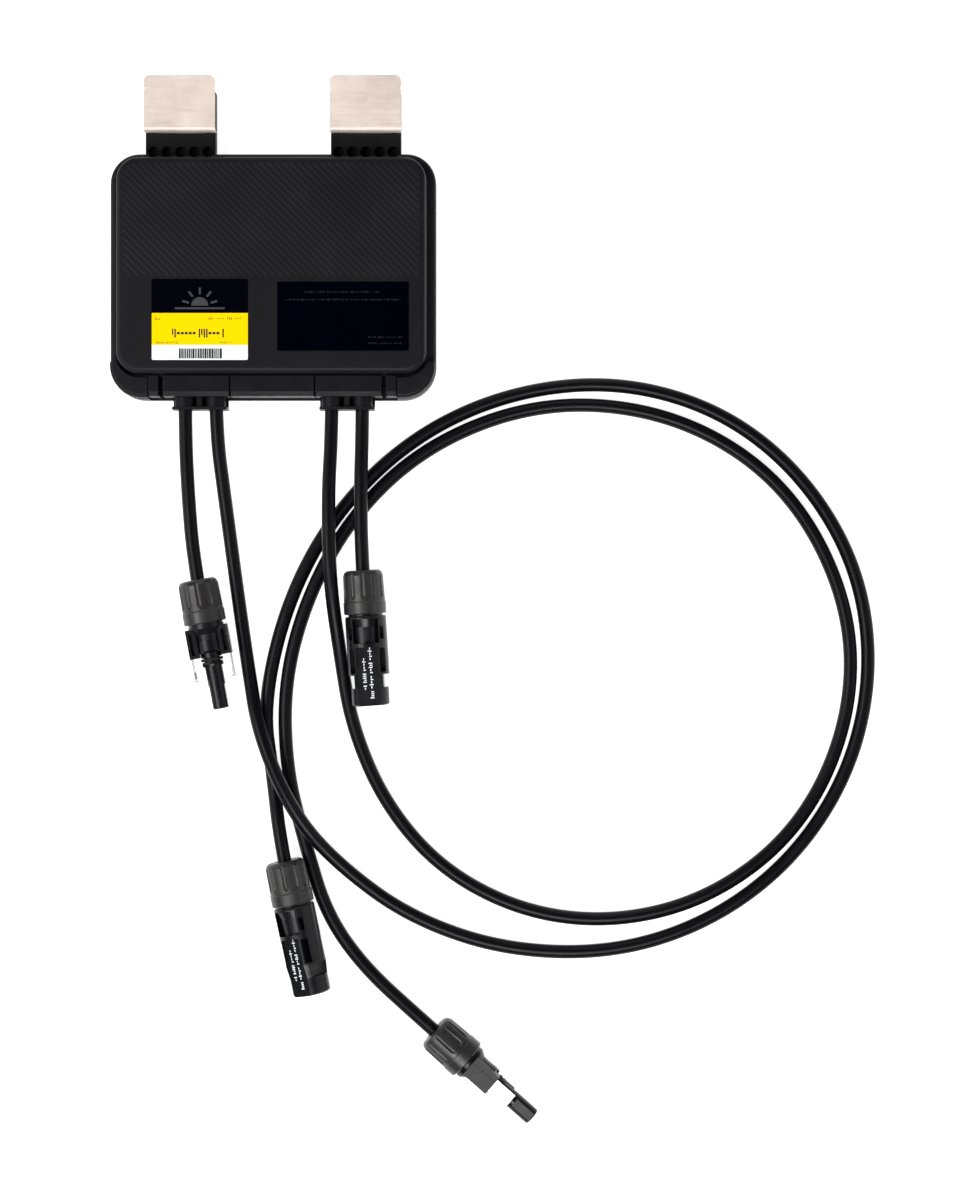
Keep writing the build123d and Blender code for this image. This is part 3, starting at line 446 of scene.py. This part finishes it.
def clip_sheet(side):
    """One bent steel clip: a leg under the tongue, the riser, a round bend and the springy leaf."""
    leaf_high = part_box(f"clip_leaf_{side}")[1]
    low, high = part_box(f"frame_clip_{side}")
    middle = (low.x + high.x) / 2
    half = (high.x - low.x) / 2
    neck = 11.0 * MM                 # half the width of the leg and of the riser up to neck_top
    neck_top = 9.9 * MM
    thick = 0.8 * MM
    riser_y = low.y + thick / 2
    leg_z = low.z + thick / 2
    bend = 1.2 * MM                  # radius of the bend, at the sheet's middle
    bend_y, bend_z = riser_y + bend, high.z - thick / 2 - bend
    corner = 2.6 * MM
    nick_y, nick_long, nick_deep = 62.9 * MM, 0.9 * MM, 0.5 * MM
    leg_rows, riser_rows, arc_rows, leaf_rows, columns = 8, 4, 12, 14, 24
    # rows along the sheet's middle, as (y, z, half width)
    rows = [(high.y + (riser_y - high.y) * i / leg_rows, leg_z, neck) for i in range(leg_rows + 1)]
    for i in range(1, riser_rows + 1):
        rows.append((riser_y, leg_z + (neck_top - leg_z) * i / riser_rows, neck))
    for i in range(riser_rows + 1):
        rows.append((riser_y, neck_top + (bend_z - neck_top) * i / riser_rows, half))
    rows += [(y, z, half) for y, z in arc((bend_y, bend_z), bend, 180, 90, arc_rows)[1:]]
    top = high.z - thick / 2
    nick_start, nick_end = nick_y - nick_long / 2, nick_y + nick_long / 2
    for i in range(1, leaf_rows + 1):
        rows.append((bend_y + (nick_start - bend_y) * i / leaf_rows, top, half))
    rows += [(nick_start, top, half - nick_deep), (nick_end, top, half - nick_deep), (nick_end, top, half)]
    for i in range(arc_rows + 1):
        angle = math.radians(90 * i / arc_rows)
        y = leaf_high.y - corner + corner * math.sin(angle)
        rows.append((y, top, half - corner + corner * math.cos(angle)))
    bm = bmesh.new()
    grid = [
        [bm.verts.new((middle + wide * (2 * i / columns - 1), y, z)) for i in range(columns + 1)]
        for y, z, wide in rows
    ]
    for row, other in zip(grid, grid[1:]):
        for i in range(columns):
            bm.faces.new((row[i], row[i + 1], other[i + 1], other[i]))
    bmesh.ops.dissolve_degenerate(bm, dist=1e-6, edges=bm.edges)
    bmesh.ops.recalc_face_normals(bm, faces=bm.faces)
    mesh = bpy.data.meshes.new(f"clip_sheet_{side}")
    bm.to_mesh(mesh)
    bm.free()
    sheet = new_piece(f"clip_sheet_{side}", mesh, finish("clip_steel"))
    body = sheet.modifiers.new("thickness", "SOLIDIFY")
    body.thickness = thick
    body.offset = 0
    edge = sheet.modifiers.new("edge", "BEVEL")
    edge.width = 0.12 * MM
    edge.segments = 2
    edge.limit_method = "ANGLE"
    edge.angle_limit = math.radians(50)
    settle(sheet)
    smooth(sheet.data)
    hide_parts(f"frame_clip_{side}", f"clip_leaf_{side}")
    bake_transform(sheet)


def flat_marks(name, shapes, ink_name):
    """Printed marks on the box or a connector: flat shapes, each given by its corners."""
    bm = bmesh.new()
    for corners in shapes:
        bm.faces.new([bm.verts.new(corner) for corner in corners])
    bmesh.ops.recalc_face_normals(bm, faces=bm.faces)
    mesh = bpy.data.meshes.new(name)
    bm.to_mesh(mesh)
    bm.free()
    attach(new_piece(name, mesh, finish(ink_name)), "root")


DRAWS = 2147483648                   # a draw is a whole number below this


def draw(state):
    """The next of a fixed sequence of draws."""
    return (state * 1103515245 + 12345) % DRAWS


def marks(start, end, low, high, seed, pen, gap, word):
    """Plain strokes in a row, as (x0, x1, y0, y1), always the same for one seed.

    They are uprights of two heights and short dashes at mid-height, so none of them forms a letter.
    A word of strokes is followed by a gap three times as wide.
    """
    boxes = []
    at = start
    state = seed
    tall = high - low
    while at + 2 * pen < end:
        state = draw(state)
        choice = (state >> 16) % 3
        if choice == 2:
            boxes.append((at, at + 2 * pen, low + 0.36 * tall, low + 0.64 * tall))
            at += pen
        else:
            boxes.append((at, at + pen, low + 0.3 * tall * choice, high))
        at += pen + (3 * gap if len(boxes) % word == 0 else gap)
    return boxes


def label_quads(node, rows):
    """Quads just above a label from rows of marks, in mm."""
    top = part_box(node)[1].z + PRINT_LIFT
    return [
        [(x * MM, y * MM, top) for x, y in ((x0, y0), (x1, y0), (x1, y1), (x0, y1))]
        for row in rows
        for x0, x1, y0, y1 in marks(*row)
    ]


def label_emblem():
    """A plain rising sun on the label's black band: a half disc, five rays and a line under them."""
    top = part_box("type_label")[1].z + PRINT_LIFT
    x, y = -29.8, -30.2              # millimetres, as are the sizes below
    disc_r, ray_start, ray_end, ray_half = 3.6, 4.8, 7.6, 0.45
    line_half, line_top, line_bottom = 10.5, -0.7, -1.5

    def place(radius, angle, aside=0.0):
        turn = math.radians(angle)
        away = radius * math.cos(turn) - aside * math.sin(turn)
        return ((x + away) * MM, (y + radius * math.sin(turn) + aside * math.cos(turn)) * MM, top)

    shapes = [[place(disc_r, 180 * i / 24) for i in range(25)]]
    for angle in (15, 52, 90, 128, 165):
        shapes.append([
            place(ray_start, angle, -ray_half), place(ray_end, angle, -ray_half),
            place(ray_end, angle, ray_half), place(ray_start, angle, ray_half),
        ])
    line = (
        (-line_half, line_bottom), (line_half, line_bottom), (line_half, line_top), (-line_half, line_top),
    )
    shapes.append([((x + dx) * MM, (y + dy) * MM, top) for dx, dy in line])
    flat_marks("label_emblem", shapes, "ink_grey")


def label_print():
    """Plain strokes in place of the labels' text, and a bar pattern."""
    # start, end, low, high, seed, pen, gap, strokes in a word
    rows = [
        (-41.5, -18.2, -43.6, -39.9, 5, 0.62, 0.42, 7),
        (-48.6, -46.4, -36.6, -35.1, 7, 0.3, 0.3, 9),
        (-26.0, -11.0, -36.2, -35.1, 11, 0.3, 0.5, 3),
        (-48.4, -38.6, -46.2, -45.3, 3, 0.25, 0.28, 6),
        (-21.6, -16.6, -46.2, -45.3, 17, 0.25, 0.28, 6),
    ]
    quads = label_quads("type_label", rows)
    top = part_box("type_label")[1].z + PRINT_LIFT
    bar_start, bar_end, bar_low, bar_high = -38.6, -21.0, -52.4, -48.2
    thinnest, spread, gap = 0.24, 0.7, 0.2
    state = 23
    at = bar_start
    while at < bar_end:
        state = draw(state)
        wide = thinnest + spread * (state / DRAWS)
        quads.append([(x * MM, y * MM, top) for x, y in (
            (at, bar_low), (at + wide, bar_low), (at + wide, bar_high), (at, bar_high),
        )])
        at += wide + gap
    flat_marks("label_print_dark", quads, "ink_dark")
    rows = [
        (14.0, 47.0, -24.9, -24.1, 31, 0.3, 0.3, 6),
        (6.0, 55.5, -28.1, -27.3, 37, 0.3, 0.3, 8),
        (41.0, 55.6, -43.8, -43.1, 41, 0.3, 0.3, 5),
        (41.0, 55.6, -46.4, -45.7, 43, 0.3, 0.3, 7),
    ]
    flat_marks("label_print_faint", label_quads("data_label", rows), "ink_faint")


def panel_print(name):
    """Two plain rows of white strokes along a socket's upper panel."""
    place = PLACES[name]
    level = 6.61                     # millimetres above the connector's axis, just off the panel
    # start, end, low, high, seed, pen, gap, strokes in a word
    rows = [(32.8, 55.4, 0.35, 1.95, 51, 0.46, 0.4, 5), (37.2, 51.0, -2.3, -0.9, 53, 0.46, 0.4, 5)]
    quads = []
    for row in rows:
        for t0, t1, x0, x1 in marks(*row):
            quads.append([place.point(x, level, t) for x, t in ((x0, t0), (x1, t0), (x1, t1), (x0, t1))])
    flat_marks(f"panel_print_{name}", quads, "ink_white")


# ---------------------------------------------------------------- stage
def make_stage():
    """A pale paper floor that glows a little, so that it stays white."""
    half = 30.0                      # metres
    mesh = bpy.data.meshes.new("floor")
    corners = [(-half, -half, 0), (half, -half, 0), (half, half, 0), (-half, half, 0)]
    mesh.from_pydata(corners, [], [(0, 1, 2, 3)])
    floor = bpy.data.objects.new("floor", mesh)
    floor.location.z = -0.2 * MM     # just clear of the part's underside
    bpy.context.scene.collection.objects.link(floor)
    paint = Paint("floor_paper")
    paper = paint.noise(8, 3, 0.5)
    paint.colour(paint.mix(paper, (0.60, 0.60, 0.60), (0.64, 0.64, 0.64)))
    paint.set(Roughness=0.9, Specular_IOR_Level=0.1, Emission_Color=(1, 1, 1, 1), Emission_Strength=0.85)
    mesh.materials.append(paint.material)


# place, softbox size in metres, watts
LIGHTS = {
    "overhead": ((0.0, -0.85, 1.15), (0.7, 0.5), 16),
    "beside": ((-0.75, -0.3, 1.2), (0.5, 0.6), 9),
    "left": ((-1.5, 0.1, 0.75), (1.0, 1.6), 8),
    "right": ((1.6, -0.1, 0.75), (1.0, 1.6), 6),
    "back": ((0.1, 1.5, 0.8), (1.0, 1.6), 8),
}


def make_lights():
    """Softboxes beyond the leads and on the left, weak panels round about, a dim surround."""
    centre = Vector((0.06, -0.13, 0))
    for name, (place, size, power) in LIGHTS.items():
        data = bpy.data.lights.new(name, "AREA")
        data.shape = "RECTANGLE"
        data.size, data.size_y = size
        data.energy = power
        light = bpy.data.objects.new(name, data)
        light.location = place
        light.rotation_euler = (centre - Vector(place)).to_track_quat("-Z", "Y").to_euler()
        bpy.context.scene.collection.objects.link(light)
    world = bpy.data.worlds.new("surround")
    world.use_nodes = True
    background = world.node_tree.nodes["Background"]
    background.inputs["Color"].default_value = (1, 1, 1, 1)
    background.inputs["Strength"].default_value = 0.13
    bpy.context.scene.world = world
    bpy.context.scene.view_settings.view_transform = "Standard"


# ---------------------------------------------------------------- build
make_camera()
for lead_name in LEADS:
    make_lead(lead_name)
paint_cad()
for clip_side in ("left", "right"):
    clip_sheet(clip_side)
label_print()
label_emblem()
for connector_name in PLACES:
    if connector_name not in PLUGS:
        panel_print(connector_name)
make_stage()
make_lights()
